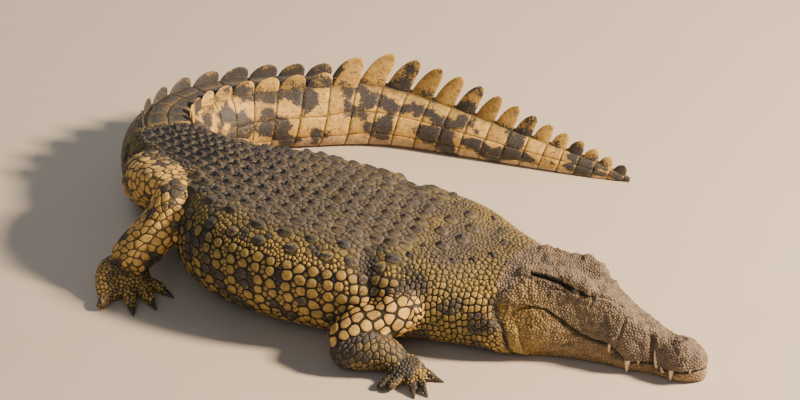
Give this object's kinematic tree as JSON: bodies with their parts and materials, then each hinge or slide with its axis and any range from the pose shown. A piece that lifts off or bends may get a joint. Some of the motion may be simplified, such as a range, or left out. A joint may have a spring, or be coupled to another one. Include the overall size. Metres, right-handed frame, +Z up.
{
  "type": "nile crocodile model",
  "caption": "Life-size still model of a Nile crocodile lying on its belly with its chin on the ground and its tail curled round behind it.",
  "frame": {"origin": "the middle of the whole animal's outline seen from above, on the floor that it rests on", "axes": "+Z up; +X towards the end where the snout lies; the animal's right side faces -Y"},
  "size_m": [1.7816, 1.6456, 0.3495],
  "materials": {
    "back_hide": "dry horny scales, grey-brown with dark blotches",
    "pale_hide": "pale grey-olive skin of the lower jaw",
    "eye_dark": "wet and dark",
    "claw_horn": "dark horn"
  },
  "bodies": {
    "root": {"claw_foot_left_1": "claw_horn", "claw_foot_left_2": "claw_horn", "claw_foot_left_3": "claw_horn", "claw_foot_right_1": "claw_horn", "claw_foot_right_2": "claw_horn", "claw_foot_right_3": "claw_horn", "claw_hand_left_1": "claw_horn", "claw_hand_left_2": "claw_horn", "claw_hand_left_3": "claw_horn", "claw_hand_right_1": "claw_horn", "claw_hand_right_2": "claw_horn", "claw_hand_right_3": "claw_horn", "eye_left": "eye_dark", "eye_right": "eye_dark", "foot_left": "back_hide", "foot_right": "back_hide", "forearm_left": "back_hide", "forearm_right": "back_hide", "hand_left": "back_hide", "hand_right": "back_hide", "head_lower": "pale_hide", "head_upper": "back_hide", "neck": "back_hide", "shank_left": "back_hide", "shank_right": "back_hide", "tail_1": "back_hide", "tail_2": "back_hide", "tail_3": "back_hide", "tail_4": "back_hide", "thigh_left": "back_hide", "thigh_right": "back_hide", "trunk_front": "back_hide", "trunk_rear": "back_hide", "upper_arm_left": "back_hide", "upper_arm_right": "back_hide"}
  },
  "joints": []
}
